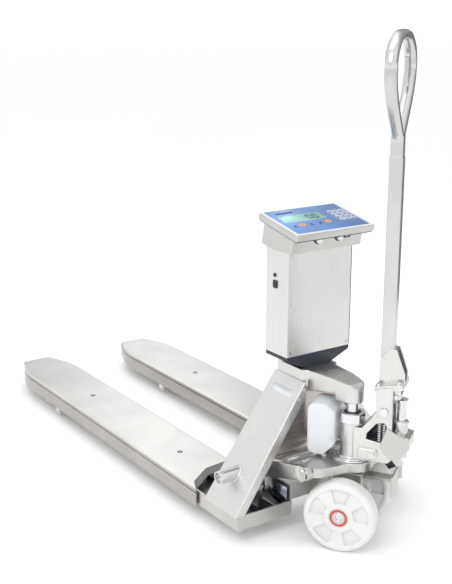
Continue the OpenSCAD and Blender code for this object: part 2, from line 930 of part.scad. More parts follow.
module push_rod_right() {
    placed() mirror([0, 1, 0]) push_rod();
}

module roller_frame() {
    color("gray") {
        difference() {
            union() {
                for (y = [149, 228]) slab_xz(y, y + 7) union() {
                    translate([pivot_x, pivot_z]) circle(r = 15);
                    translate([roller_x, roller_r]) circle(r = 15);
                    polygon([[pivot_x, pivot_z - 15], [roller_x, roller_r - 15], [roller_x, roller_r + 15],
                        [pivot_x, pivot_z + 15]]);
                    translate([tip_pin_x, tip_pin_z]) circle(r = 11);
                    polygon([[tip_pin_x - 11, tip_pin_z], [pivot_x - 15, pivot_z], [pivot_x + 15, pivot_z],
                        [tip_pin_x + 11, tip_pin_z]]);
                }
                rod_y(15, pivot_x, pivot_z, 156, 228);
            }
            rod_y(pin_r + run, pivot_x, pivot_z, 0, far);
            rod_y(9, roller_x, roller_r, 0, far);
            rod_y(6, tip_pin_x, tip_pin_z, 0, far);
        }
        rod_y(9, roller_x, roller_r, 147, 237);
        rod_y(6, tip_pin_x, tip_pin_z, 147, 237);
    }
}

module roller_frame_left() {
    placed() roller_frame();
}

module roller_frame_right() {
    placed() mirror([0, 1, 0]) roller_frame();
}

module load_roller() {
    color("white") translate([roller_x, 224, roller_r]) rotate([90, 0, 0]) rotate_extrude()
        polygon([[9 + run, 0], [roller_r - 3, 0], [roller_r, 3], [roller_r, 61], [roller_r - 3, 64],
            [9 + run, 64]]);
}

module load_roller_left() {
    placed() load_roller();
}

module load_roller_right() {
    placed() mirror([0, 1, 0]) load_roller();
}

inner_fork_left();
inner_fork_right();
fork_shell_left();
fork_shell_right();
fork_screws();
load_cells();
leg_left();
leg_right();
head_beam();
lift_ram();
apron_sheet();
cross_beam();
column_shell();
column_cover();
column_screws();
column_foot();
battery_pack();
indicator_housing();
indicator_bezel();
keypad_film();
lcd_window();
circuit_board();
cable_glands();
charge_socket();
fork_pivot_pins();
rocker_switch();
base_plate();
base_collar();
thrust_ring();
base_pins();
grease_cap();
pump_body();
gland_nut();
oil_tank();
axle_block();
steer_axle();
rear_guard();
plunger_housing();
wheel_left();
wheel_right();
wheel_bearing_left();
wheel_bearing_right();
tiller_yoke();
tiller_pin();
cam_roller();
tiller_foot();
tiller_shaft();
tiller_grip();
control_lever();
control_rod();
pump_plunger();
torsion_shaft();
crank_left();
crank_right();
push_rod_left();
push_rod_right();
roller_frame_left();
roller_frame_right();
load_roller_left();
load_roller_right();
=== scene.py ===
import json
import math

import bmesh
import bpy
from mathutils import Matrix, Vector


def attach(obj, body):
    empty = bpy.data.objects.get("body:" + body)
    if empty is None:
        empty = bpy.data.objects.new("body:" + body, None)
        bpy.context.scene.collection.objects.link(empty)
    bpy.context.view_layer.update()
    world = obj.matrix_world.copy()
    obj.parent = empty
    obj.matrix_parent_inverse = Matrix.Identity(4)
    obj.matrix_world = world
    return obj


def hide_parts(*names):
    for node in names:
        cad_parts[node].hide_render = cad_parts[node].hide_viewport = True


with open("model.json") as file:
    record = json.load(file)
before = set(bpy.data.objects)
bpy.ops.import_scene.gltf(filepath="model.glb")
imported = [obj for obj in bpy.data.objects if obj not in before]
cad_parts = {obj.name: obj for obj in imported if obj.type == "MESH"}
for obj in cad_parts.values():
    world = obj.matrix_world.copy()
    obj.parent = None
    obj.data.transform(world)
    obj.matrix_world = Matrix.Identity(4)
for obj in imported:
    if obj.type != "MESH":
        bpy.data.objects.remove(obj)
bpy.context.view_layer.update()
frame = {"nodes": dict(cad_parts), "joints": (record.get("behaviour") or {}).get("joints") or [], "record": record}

MM = 0.001

# ---------- the spaces that pieces are drawn in ----------

joints = {joint["name"]: joint for joint in frame["joints"]}
# The tiller's hinge lies straight across the steered unit, so it shows how far that unit is turned.
hinge_axis = Vector(joints["tiller_tilt"]["axis"])
steer_angle = math.atan2(hinge_axis.x, -hinge_axis.y)
# Millimetres from the steering axis: x towards the fork tips, y to the left, z up from the floor.
TRUCK = Matrix.Translation((joints["steer"]["pos_m"][0], 0, 0)) @ Matrix.Scale(MM, 4)
# The same, turned with the steered unit, so that its operator stands on the -x side.
STEERED = TRUCK @ Matrix.Rotation(steer_angle, 4, "Z")
# The indicator's face: x back from its front edge, z out of the face.
FACE_TILT = math.radians(11.6)
FACE_HEIGHT = 760.3
FACE = TRUCK @ Matrix.Translation((76.2, 0, FACE_HEIGHT)) @ Matrix.Rotation(-FACE_TILT, 4, "Y")
OTHER_SIDE = Matrix.Scale(-1, 4, (0, 1, 0))
SIDES = (("left", TRUCK), ("right", TRUCK @ OTHER_SIDE))

# ---------- dimensions that more than one piece needs, in millimetres ----------

COLUMN_TOP = 706
FORK_MIDDLE = 192
FORK_TOP = 85
# The line down the outer face of a leg: where it ends at the heel, and its slope.
LEG_FOOT_Y = 280
LEG_FOOT_Z = 76
LEG_SLOPE = math.atan2(296, 220)
TORSION_X = 178
TORSION_Z = 150
WHEEL_Y = 86
WHEEL_RADIUS = 90


# ---------- materials ----------

def new_material(name):
    """A material, its node tree and its shader."""
    material = bpy.data.materials.new(name)
    material.use_nodes = True
    shader = material.node_tree.nodes["Principled BSDF"]
    return material, material.node_tree, shader


def noise(tree, stretch=(1, 1, 1), **inputs):
    """Noise in object space, stretched by a scale along each axis."""
    place = tree.nodes.new("ShaderNodeTexCoord")
    mapping = tree.nodes.new("ShaderNodeMapping")
    mapping.inputs["Scale"].default_value = stretch
    tree.links.new(place.outputs["Object"], mapping.inputs["Vector"])
    node = tree.nodes.new("ShaderNodeTexNoise")
    tree.links.new(mapping.outputs["Vector"], node.inputs["Vector"])
    for socket, value in inputs.items():
        node.inputs[socket].default_value = value
    return node.outputs["Fac"]


def ramp(tree, fac, stops):
    """Grey levels at the given places from 0 to 1."""
    node = tree.nodes.new("ShaderNodeValToRGB")
    while len(node.color_ramp.elements) < len(stops):
        node.color_ramp.elements.new(0.5)
    for element, (place, level) in zip(node.color_ramp.elements, stops):
        element.position = place
        element.color = (level, level, level, 1)
    tree.links.new(fac, node.inputs["Fac"])
    return node.outputs["Color"]


def mix(tree, fac, a, b):
    """Colour a where fac is 0 and b where it is 1; each is a colour or another node's output."""
    node = tree.nodes.new("ShaderNodeMix")
    node.data_type = "RGBA"
    factor, first, second = node.inputs[0], node.inputs[6], node.inputs[7]
    tree.links.new(fac, factor)
    for socket, value in ((first, a), (second, b)):
        if isinstance(value, tuple):
            socket.default_value = (*value, 1)
        else:
            tree.links.new(value, socket)
    return node.outputs[2]


def tinted(tint, share):
    """The tint darkened to a share of itself."""
    return tuple(channel * share for channel in tint)


def bump(tree, shader, height, strength, distance=0.001):
    """Relief in the shading; distance is its depth in metres."""
    node = tree.nodes.new("ShaderNodeBump")
    node.inputs["Strength"].default_value = strength
    node.inputs["Distance"].default_value = distance
    tree.links.new(height, node.inputs["Height"])
    tree.links.new(node.outputs["Normal"], shader.inputs["Normal"])


def metal(name, tint, rough, brush, grain, patchy=0.12):
    """Steel with cloudy patches and brush lines, which run along the axis with the smallest brush scale."""
    material, tree, shader = new_material(name)
    shader.inputs["Metallic"].default_value = 1.0
    lines = noise(tree, brush, Scale=1.0, Detail=4.0, Roughness=0.6)
    clouds = noise(tree, Scale=9.0, Detail=3.0)
    tone = mix(tree, ramp(tree, clouds, [(0.3, 0.0), (0.7, 1.0)]), tinted(tint, 1 - patchy), tint)
    tone = mix(tree, ramp(tree, lines, [(0.3, 0.0), (0.7, 0.4)]), tone, tinted(tint, 0.92))
    tree.links.new(tone, shader.inputs["Base Color"])
    spread = ramp(tree, lines, [(0.25, rough * 0.8), (0.75, min(1.0, rough * 1.25))])
    tree.links.new(spread, shader.inputs["Roughness"])
    bump(tree, shader, lines, grain)
    return material


def plastic(name, tint, rough, grain=0.05):
    """Moulded plastic or paint with a fine orange-peel grain and faint handling marks."""
    material, tree, shader = new_material(name)
    fine = noise(tree, Scale=400.0, Detail=2.0)
    clouds = noise(tree, Scale=14.0, Detail=4.0)
    tone = mix(tree, ramp(tree, clouds, [(0.35, 0.0), (0.7, 1.0)]), tinted(tint, 0.94), tint)
    tree.links.new(tone, shader.inputs["Base Color"])
    spread = ramp(tree, clouds, [(0.3, rough * 0.9), (0.7, min(1.0, rough * 1.15))])
    tree.links.new(spread, shader.inputs["Roughness"])
    shader.inputs["Specular IOR Level"].default_value = 0.5
    bump(tree, shader, fine, grain, 0.0002)
    return material


# Brushing: lines along the truck, up it or across it, and grains that have no direction.
LENGTHWISE = (4, 500, 500)
UPRIGHT = (400, 400, 5)
CROSSWISE = (300, 4, 300)
FINE = (200, 200, 200)
COARSE = (60, 60, 60)
SATIN = (40, 40, 40)
# Name in the file, tint and mean roughness; for steel also its brushing, its grain and how patchy it is.
MATERIALS = {
    "sheet": metal("sheet_stainless", (0.58, 0.575, 0.56), 0.32, LENGTHWISE, 0.12),
    "fork": metal("fork_stainless", (0.86, 0.85, 0.835), 0.36, LENGTHWISE, 0.12),
    "upright": metal("upright_stainless", (0.69, 0.69, 0.68), 0.30, UPRIGHT, 0.03, 0.08),
    "leg": metal("satin_stainless", (0.66, 0.66, 0.65), 0.36, SATIN, 0.02, 0.06),
    # A darker copy of the fork's steel for the faces of its sides: painted shade.
    "fork_side_shade": metal("shaded_stainless", (0.47, 0.45, 0.425), 0.38, LENGTHWISE, 0.1, 0.16),
    # Near-black steel in the fork's creases and inside its heel: painted shade.
    "crease_and_heel_shade": metal("painted_shade_stainless", (0.20, 0.21, 0.26), 0.25, LENGTHWISE, 0.05, 0.3),
    "cast": metal("cast_stainless", (0.69, 0.685, 0.67), 0.29, COARSE, 0.06, 0.12),
    "polished": metal("polished_stainless", (0.62, 0.62, 0.615), 0.2, UPRIGHT, 0.05),
    "apron": metal("apron_stainless", (0.58, 0.53, 0.50), 0.25, CROSSWISE, 0.08, 0.25),
    "beam": metal("beam_stainless", (0.66, 0.655, 0.64), 0.33, COARSE, 0.03, 0.1),
    "bright": metal("ground_steel", (0.74, 0.74, 0.76), 0.14, FINE, 0.03),
    "nylon": plastic("white_nylon", (0.70, 0.70, 0.69), 0.38),
    "tank": plastic("tank_plastic", (0.68, 0.70, 0.73), 0.33),
    "foot": plastic("dark_paint", (0.016, 0.02, 0.034), 0.33, 0.1),
    "seal": plastic("bearing_seal", (0.50, 0.10, 0.07), 0.45),
    "film": plastic("membrane", (0.19, 0.33, 0.66), 0.3),
    "lcd": plastic("display", (0.40, 0.72, 0.68), 0.15),
    "white_print": plastic("white_print", (0.74, 0.75, 0.78), 0.35),
    "navy": plastic("navy_print", (0.03, 0.05, 0.16), 0.35),
    "orange": plastic("orange_key", (0.85, 0.37, 0.08), 0.35),
    "bolt": metal("bolt_steel", (0.72, 0.71, 0.69), 0.28, FINE, 0.05),
    "board": plastic("board", (0.02, 0.16, 0.07), 0.5),
    "black": plastic("black_plastic", (0.012, 0.012, 0.014), 0.4),
}
# The look that a CAD node keeps, by its slot in the record, and the nodes with a look of their own.
LOOK_OF_SLOT = {
    "steel": "sheet", "apron_steel": "apron", "cast_steel": "cast", "polished_steel": "polished",
    "bright_steel": "bright", "fastener_steel": "bright", "load_cell_steel": "cast", "nylon": "nylon",
    "tank_plastic": "tank", "foot_paint": "foot", "seal_red": "seal", "keypad_blue": "film",
    "lcd_green": "lcd", "board_green": "board", "battery_case": "black", "black_plastic": "black",
}
LOOK_OF_NODE = {"leg_left": "leg", "leg_right": "leg", "head_beam": "beam"}
slot_of_node = {part["node"]: part["material_slot"] for part in frame["record"]["subparts"]}

# The record's slot that each look of a new piece belongs to.
SLOT_OF_LOOK = {look: slot for slot, look in LOOK_OF_SLOT.items()}
SLOT_OF_LOOK.update(dict.fromkeys(("sheet", "fork", "fork_side_shade", "upright", "leg", "crease_and_heel_shade"), "steel"))
SLOT_OF_LOOK.update(dict.fromkeys(("white_print", "navy", "orange"), "keypad_blue"))
SLOT_OF_LOOK.update(cast="cast_steel", black="black_plastic", bright="bright_steel", bolt="fastener_steel")


# ---------- CAD nodes that stay: a better material, and softened edges ----------

def soften(thing, width, segments=3, angle=38):
    """Rounds every edge sharper than the angle, to a width in millimetres."""
    weld = thing.modifiers.new("weld", "WELD")
    weld.merge_threshold = 0.02 * MM
    bevel = thing.modifiers.new("edges", "BEVEL")
    bevel.width = width * MM
    bevel.segments = segments
    bevel.limit_method = "ANGLE"
    bevel.angle_limit = math.radians(angle)
    bevel.use_clamp_overlap = True
    normals = thing.modifiers.new("normals", "WEIGHTED_NORMAL")
    normals.keep_sharp = False


def paint(thing, look):
    """One look all over a CAD node, in place of the plain one that it comes with."""
    thing.data.materials.clear()
    thing.data.materials.append(MATERIALS[look])
    for polygon in thing.data.polygons:
        polygon.material_index = 0


# CAD nodes cast in one piece: voxel size in millimetres, and how often the surface is smoothed.
CASTINGS = {"head_beam": (1.6, 14), "pump_body": (1.2, 5), "oil_tank": (1.4, 14), "tiller_yoke": (1.0, 4),
            "base_plate": (1.4, 5), "crank_left": (1.2, 5), "crank_right": (1.2, 5), "axle_block": (1.5, 5)}
# Edge rounding of the other CAD nodes in millimetres, where it isn't the usual one.
USUAL_EDGE = 0.8
EDGE = {"indicator_bezel": 1.3, "column_foot": 3.5,
        "leg_left": 2.4, "leg_right": 2.4, "inner_fork_left": 2.0, "inner_fork_right": 2.0, "gland_nut": 2.2,
        "tiller_foot": 1.6, "column_screws": 0.5, "fork_screws": 0.4, "base_collar": 1.4, "lift_ram": 1.5,
        "load_roller_left": 2.0, "load_roller_right": 2.0, "plunger_housing": 1.6, "pump_plunger": 2.0}


def cast(thing, voxel, rounds):
    """Fillets every edge, as a casting has, by a voxel skin in the mesh's own units, smoothed a few times."""
    voxels = thing.modifiers.new("skin", "REMESH")
    voxels.mode = "VOXEL"
    voxels.voxel_size = voxel
    voxels.use_smooth_shade = True
    fillets = thing.modifiers.new("fillets", "SMOOTH")
    fillets.factor = 0.5
    fillets.iterations = rounds


for name, node in frame["nodes"].items():
    paint(node, LOOK_OF_NODE.get(name, LOOK_OF_SLOT[slot_of_node[name]]))
    if name in CASTINGS:
        voxel, rounds = CASTINGS[name]
        cast(node, voxel * MM, rounds)
    else:
        soften(node, EDGE.get(name, USUAL_EDGE))


# ---------- shapes, in millimetres ----------

def skin(mesh, rings, closed=True, caps=True):
    """Faces between each ring of points and the next, and over both ends."""
    for a, b in zip(rings, rings[1:]):
        for i in range(len(a) if closed else len(a) - 1):
            j = (i + 1) % len(a)
            mesh.faces.new((a[i], a[j], b[j], b[i]))
    if caps:
        mesh.faces.new(rings[0])
        mesh.faces.new(rings[-1])
    bmesh.ops.recalc_face_normals(mesh, faces=mesh.faces)
    return mesh


def placed(axis, u, v, along):
    """The point with two coordinates across the axis, in the order x, y, z, and one along it."""
    return Vector({"x": (along, u, v), "y": (u, along, v), "z": (u, v, along)}[axis])


def prism(outline, axis, low, high):
    """An outline drawn across the axis, made solid from low to high along it."""
    mesh = bmesh.new()
    return skin(mesh, [[mesh.verts.new(placed(axis, u, v, end)) for u, v in outline] for end in (low, high)])


def lathe(profile, centre, axis="y", steps=72):
    """A closed outline of (radius, height) turned about an axis through centre."""
    mesh = bmesh.new()
    rings = []
    for k in range(steps):
        turn = math.tau * k / steps
        points = [placed(axis, r * math.cos(turn), r * math.sin(turn), h) for r, h in profile]
        rings.append([mesh.verts.new(Vector(centre) + point) for point in points])
    skin(mesh, rings + [rings[0]], caps=False)
    bmesh.ops.remove_doubles(mesh, verts=mesh.verts, dist=0.001)
    bmesh.ops.recalc_face_normals(mesh, faces=mesh.faces)
    return mesh


def drum(r, low, high):
    """The outline that turns into a plain drum."""
    return [(0, low), (r, low), (r, high), (0, high)]


def band(r0, r1, low, high):
    """The outline that turns into a ring."""
    return [(r0, low), (r1, low), (r1, high), (r0, high)]


def rect(x0, y0, x1, y1):
    """An outline from one corner to the opposite one."""
    return [(x0, y0), (x1, y0), (x1, y1), (x0, y1)]


def rounded(corners, radius, steps=5):
    """The outline with its corners rounded; radius is one number, or one for each corner."""
    radii = radius if isinstance(radius, list) else [radius] * len(corners)
    points = []
    for i, (corner, r) in enumerate(zip(corners, radii)):
        here = Vector(corner)
        before = Vector(corners[i - 1]) - here
        after = Vector(corners[(i + 1) % len(corners)]) - here
        if r == 0:
            points.append(tuple(here))
            continue
        reach = min(r / math.tan(before.angle(after) / 2), 0.49 * before.length, 0.49 * after.length)
        a = here + before.normalized() * reach
        b = here + after.normalized() * reach
        for k in range(steps + 1):
            t = k / steps
            points.append(tuple(a * (1 - t) ** 2 + here * 2 * t * (1 - t) + b * t * t))
    return points


def bar(path, across, along, facing, steps=20, closed=False):
    """A bar of oval section swept along the path; facing is the direction of its second half width."""
    mesh = bmesh.new()
    rings = []
    for i, point in enumerate(path):
        before = path[i - 1] if i or closed else point
        after = path[(i + 1) % len(path)] if i + 1 < len(path) or closed else point
        heading = (after - before).normalized()
        side = heading.cross(Vector(facing)).normalized()
        up = side.cross(heading)
        turns = [math.tau * k / steps for k in range(steps)]
        rings.append([mesh.verts.new(point + side * across * math.cos(t) + up * along * math.sin(t))
                      for t in turns])
    return skin(mesh, rings + [rings[0]], caps=False) if closed else skin(mesh, rings)


def merge(*parts):
    """One mesh of several, in the first one's place."""
    for part in parts[1:]:
        data = bpy.data.meshes.new("part")
        part.to_mesh(data)
        parts[0].from_mesh(data)
        bpy.data.meshes.remove(data)
    return parts[0]


def loose(mesh):
    """A helper object that holds the mesh while modifiers work on it."""
    data = bpy.data.meshes.new("loose")
    mesh.to_mesh(data)
    thing = bpy.data.objects.new("loose", data)
    bpy.context.scene.collection.objects.link(thing)
    return thing


def settled(thing):
    """The mesh that is left once the thing's modifiers are applied."""
    bpy.context.view_layer.update()
    mesh = bmesh.new()
    mesh.from_object(thing, bpy.context.evaluated_depsgraph_get())
    bpy.data.objects.remove(thing)
    return mesh


def cut(mesh, *tools):
    """The mesh with the space of each tool taken away."""
    thing = loose(mesh)
    cutters = [loose(tool) for tool in tools]
    for cutter in cutters:
        step = thing.modifiers.new("cut", "BOOLEAN")
        step.operation = "DIFFERENCE"
        step.solver = "EXACT"
        step.object = cutter
    result = settled(thing)
    for cutter in cutters:
        bpy.data.objects.remove(cutter)
    return result


def moulded(mesh, voxel, rounds):
    """The mesh's parts run together under one smooth skin."""
    thing = loose(mesh)
    cast(thing, voxel, rounds)
    return settled(thing)


def piece(name, mesh, space, body, look, stands_for=(), edge=0.0):
    """A new piece that rides on a body, in place of the CAD nodes that it stands for."""
    mesh.transform(space)
    if space.determinant() < 0:
        bmesh.ops.reverse_faces(mesh, faces=mesh.faces)
    data = bpy.data.meshes.new(name)
    mesh.to_mesh(data)
    mesh.free()
    for polygon in data.polygons:
        polygon.use_smooth = True
    data.materials.append(MATERIALS[look])
    thing = bpy.data.objects.new(name, data)
    bpy.context.scene.collection.objects.link(thing)
    if edge:
        soften(thing, edge, angle=32)
    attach(thing, body)
    if stands_for:
        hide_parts(*stands_for)
    return thing


# ---------- indicator ----------

# Millimetres in the space of the face.
BEZEL_DEPTH = 17
CASE_FRONT = 26
GLAND_Y = 32
GLAND_DROP = -30.5


def face_plate(name, outline, low, high, look, stands_for=(), edge=0.0):
    """A thin flat piece on the indicator's face."""
    return piece(name, prism(outline, "z", low, high), FACE, "chassis", look, stands_for, edge)


def key(name, right, back, half_w, half_d, look, top=0.9):
    """A key on the face, placed by its distance to the operator's right and back from the front edge."""
    outline = rounded(rect(back - half_d, -right - half_w, back + half_d, -right + half_w), 1.6)
    face_plate(name, outline, 0.1, top, look, edge=0.25)


def digit_zero(name, right):
    """The figure 0 of a seven-bar display: its top and bottom bars, and two bars down each side."""
    half_w, half_d, line, middle = 5.6, 11, 1.5, 94.5
    thin = line / 1.4
    bars = []
    for end in (-half_d, half_d):
        x = middle + end
        bars.append(rect(x - line, -right - half_w + line, x + line, -right + half_w - line))
    for y in (-right - half_w, -right + half_w):
        bars.append(rect(middle + line, y - thin, middle + half_d - line, y + thin))
        bars.append(rect(middle - half_d + line, y - thin, middle - line, y + thin))
    parts = [prism(outline, "z", 0.3, 0.6) for outline in bars]
    piece(name, merge(*parts), FACE, "chassis", "black")


def housing():
    """The case under the face, cut off level where it stands on the column."""
    back, half, under, level = 144.5, 108, -77, COLUMN_TOP - FACE_HEIGHT
    rise, run = math.sin(FACE_TILT), math.cos(FACE_TILT)
    front_foot = (level - CASE_FRONT * rise) / run
    level_ends = (level - under * run) / rise
    outline = [(CASE_FRONT, -BEZEL_DEPTH), (CASE_FRONT, front_foot), (level_ends, under), (back, under),
               (back, -BEZEL_DEPTH)]
    piece("housing", prism(outline, "y", -half, half), FACE, "chassis", "sheet", ["indicator_housing"], 1.2)


def gasket():
    """The dark seal between the bezel and the case."""
    thick = 2.8
    seal = prism(rounded(rect(2.5, -117, 152, 117), 3), "z", -BEZEL_DEPTH - thick, -BEZEL_DEPTH)
    opening = prism(rect(28, -106, 142, 106), "z", -25, -12)
    piece("case_gasket", cut(seal, opening), FACE, "chassis", "foot")


def film_and_display():
    """The film in its border, a window that reads 0.0, and a blank strip where a name would be."""
    face_plate("face_border", rounded(rect(1.5, -118, 153, 118), 3), -0.6, 0, "white_print", edge=0.2)
    face_plate("face_film", rounded(rect(9, -110.5, 151, 110.5), 4), -0.2, 0.2, "film", ["keypad_film"])
    face_plate("display", rounded(rect(75, -30, 114, 96), 3), 0.1, 0.35, "lcd", ["lcd_window"])
    face_plate("name_strip", rounded(rect(127, 36, 134.5, 88), 1), 0.1, 0.3, "navy")
    digit_zero("digit_left", -13)
    digit_zero("digit_right", 6)
    face_plate("digit_point", rect(82.6, 1.9, 85.2, 4.5), 0.3, 0.6, "black")


def keypad():
    """Twelve keys beside the display, and below it three small keys and two round ones, all blank."""
    for row in range(4):
        for column in range(3):
            right = 62 + 17.5 * column
            back = 56 + 16.5 * row
            key(f"key_{row}_{column}", right, back, 6.6, 5.8, "white_print")
            key(f"key_mark_{row}_{column}", right - 1.5, back - 1.5, 3.8, 3, "navy", 1.0)
    for number, (right, back) in enumerate([(-86, 49), (-35, 51), (-8, 51)]):
        key(f"small_key_{number}", right, back, 5.2, 4.2, "navy")
        key(f"small_key_mark_{number}", right + 2.5, back - 1, 1.6, 2, "white_print", 1.0)
    for number, (right, back) in enumerate([(-63, 53), (16, 55)]):
        button = lathe(drum(8, 0.1, 1.1), (back, -right, 0), "z", 40)
        piece(f"round_key_{number}", button, FACE, "chassis", "orange", edge=0.4)
        key(f"round_key_mark_{number}", right, back, 1.2, 3.6, "navy", 1.25)


def case_front():
    """The two closed glands with their seals, and the socket beside them."""
    dome = [(0, 13.5), (5.5, 14), (8, 16), (9, 19), (9, CASE_FRONT), (0, CASE_FRONT)]
    places = [(0, y, GLAND_DROP) for y in (-GLAND_Y, GLAND_Y)]
    glands = [lathe(dome, place, "x", 48) for place in places]
    piece("gland_caps", merge(*glands), FACE, "chassis", "bright", ["cable_glands"], 0.4)
    seals = [lathe(drum(11.2, 23.4, 26.4), place, "x", 48) for place in places]
    piece("gland_seals", merge(*seals), FACE, "chassis", "foot")
    plate = prism(rounded(rect(-67, -35.5, -45, -23), 1.5), "x", 22.8, 26.4)
    piece("socket_plate", plate, FACE, "chassis", "foot", edge=0.4)
    inset = prism(rounded(rect(-62, -31.5, -50, -27.5), 1), "x", 22.3, 23.2)
    piece("socket_inset", inset, FACE, "chassis", "white_print")


# ---------- column ----------

def column():
    """The folded case with its open top, the gap beside its cover, its socket's ring, and painted shade for its
    screws' slots.
    """
    front, back, half, sheet, bottom = 134.5, 222.5, 100.5, 2, 441
    case = prism(rounded(rect(front, -half, back, half), 2.5), "z", bottom, COLUMN_TOP)
    inside = rect(front + sheet, sheet - half, back - sheet, half - sheet)
    hollow = prism(inside, "z", bottom + sheet, COLUMN_TOP + 1)
    nodes = ["column_shell", "column_cover"]
    piece("column_case", cut(case, hollow), TRUCK, "chassis", "upright", nodes, 0.7)
    gap = prism(rect(front - 0.3, 0.8 - half, front + 1, 2.6 - half), "z", bottom + 3, COLUMN_TOP - 2)
    piece("cover_gap", gap, TRUCK, "chassis", "black")
    ring = lathe(band(5, 8, half, half + 1.2), (185, 0, 642), "y", 40)
    piece("side_socket_ring", ring, TRUCK, "chassis", "bright", edge=0.4)
    # Black strips on the cover where its screws' slots are: painted shade in the slots.
    for side, y in (("left", 90), ("right", -90)):
        slot = prism(rect(y - 0.5, 449, y + 0.5, 455), "x", front - 1.7, front - 1.2)
        piece(f"cover_screw_slot_shade_{side}", slot, TRUCK, "chassis", "black")


# ---------- forks ----------

def rear_edge(y):
    """Where the rear edge of a left fork's sheet lies, from its inner side to its outer one."""
    stops = [(-88, 372), (-6, 366), (68, 312), (88, 272)]
    for (y0, x0), (y1, x1) in zip(stops, stops[1:]):
        if y <= y1:
            return x0 + (x1 - x0) * (y - y0) / (y1 - y0)
    return stops[-1][1]


# Where the crease lies among the faces of a section, counted from either lower edge; these faces get painted
# shade.
CREASE_STRIPS = (3, 4, 5)


def shell_ring(mesh, x, half, top):
    """A section of the fork's sheet at x, or along its rear edge: round long edges, creased below them."""
    bottom, r, groove = 35, 6, 2.4
    side = [(half, bottom), (half, bottom + 2), (half - 0.8, bottom + 3.5), (half - 0.8, top - 14),
            (half - groove, top - 12.6), (half - groove, top - 10.4), (half, top - 9)]
    turns = [math.radians(90 * k / 5) for k in range(6)]
    side += [(half - r + r * math.cos(t), top - r + r * math.sin(t)) for t in turns]
    left = side + [(half * 0.77, top), (0, top)]
    section = left + [(-y, z) for y, z in reversed(side + [(half * 0.77, top)])]
    return [mesh.verts.new((rear_edge(y) if x is None else x, y, z)) for y, z in section]


def fork_sheet():
    """The sheet from its slanting rear edge to its rounded nose, and how many faces each section has."""
    tip, taper, half, nose_length, nose_half = 1462, 1300, 88, 24, 48
    nose_start = tip - nose_length
    mesh = bmesh.new()
    rings = [shell_ring(mesh, None, half, FORK_TOP), shell_ring(mesh, 420, half, FORK_TOP)]
    for k in range(9):
        share = k / 9
        x = taper + (nose_start - taper) * share
        rings.append(shell_ring(mesh, x, half - (half - nose_half) * share ** 1.8, FORK_TOP))
    for k in range(7):
        t = math.radians(84 * k / 6)
        drop = 1 - math.cos(t)
        x = nose_start + nose_length * math.sin(t)
        rings.append(shell_ring(mesh, x, nose_half - 14 * drop, FORK_TOP - 22 * drop))
    skin(mesh, rings, closed=False, caps=False)
    mesh.faces.new(rings[-1])
    bmesh.ops.recalc_face_normals(mesh, faces=mesh.faces)
    return mesh, len(rings[0]) - 1


def fork_lip():
    """The fold that stiffens the rear edge."""
    mesh = bmesh.new()
    section = ((3.5, FORK_TOP - 1), (0, FORK_TOP - 1), (-11, FORK_TOP - 18), (-7.5, FORK_TOP - 18))
    rings = [[mesh.verts.new((rear_edge(y) + back, y, z)) for back, z in section] for y in (-83, -6, 68, 82)]
    return skin(mesh, rings)


def fork(side, truck_side):
    """One fork's top sheet with painted shade on its sides and in its creases, and the lip at its rear edge."""
    space = truck_side @ Matrix.Translation((0, FORK_MIDDLE, 0))
    mesh, strips = fork_sheet()
    thing = piece(f"fork_{side}", mesh, space, "chassis", "fork", [f"fork_shell_{side}"])
    thing.data.materials.append(MATERIALS["fork_side_shade"])
    thing.data.materials.append(MATERIALS["crease_and_heel_shade"])
    creases = CREASE_STRIPS + tuple(strips - 1 - strip for strip in CREASE_STRIPS)
    # Faces turned to the side get the darker copy, and the crease's faces the near-black steel: painted shade.
    for polygon in thing.data.polygons:
        if abs(polygon.normal.y) > 0.75:
            polygon.material_index = 1
        if len(polygon.vertices) == 4 and polygon.index % strips in creases:
            polygon.material_index = 2
    wall = thing.modifiers.new("wall", "SOLIDIFY")
    wall.thickness = 3 * MM
    wall.offset = -1
    soften(thing, width=0.9, segments=2, angle=50)
    piece(f"fork_{side}_lip", fork_lip(), space, "chassis", "fork", edge=0.8)


# ---------- frame front ----------

def leg_face_y(z):
    """How far out the outer face of a leg is at a height."""
    return LEG_FOOT_Y - (z - LEG_FOOT_Z) / math.tan(LEG_SLOPE)


def between_legs(z):
    """Half width of the space between the legs at a height."""
    depth, clear = 25, 1
    return leg_face_y(z) - depth / math.sin(LEG_SLOPE) - clear


def apron():
    """A sheet between the legs whose lower edge is rolled forward."""
    front, sheet, roll, bottom, top = 131, 3, 20, 196, 345
    turns = [math.radians(-90 * k / 10) for k in range(11)]
    centre_x, centre_z = front - roll, bottom + roll
    inside = roll - sheet
    outer = [(centre_x + roll * math.cos(t), centre_z + roll * math.sin(t)) for t in turns]
    inner = [(centre_x + inside * math.cos(t), centre_z + inside * math.sin(t)) for t in reversed(turns)]
    section = [(front, top)] + outer + inner + [(front - sheet, top)]
    widest_at = 206
    mesh = bmesh.new()
    rings = []
    for side in (-1, 1):
        rings.append([mesh.verts.new((x, side * between_legs(max(z, widest_at)), z)) for x, z in section])
    piece("apron", skin(mesh, rings), TRUCK, "chassis", "apron", ["apron_sheet"], 0.6)


def tube_seam():
    """The closed line where the torsion shaft's tube comes out of a leg."""
    radius, points = 18.6, []
    for k in range(40):
        turn = math.tau * k / 40
        z = TORSION_Z + radius * math.sin(turn)
        points.append(Vector((TORSION_X + radius * math.cos(turn), leg_face_y(z), z)))
    return points


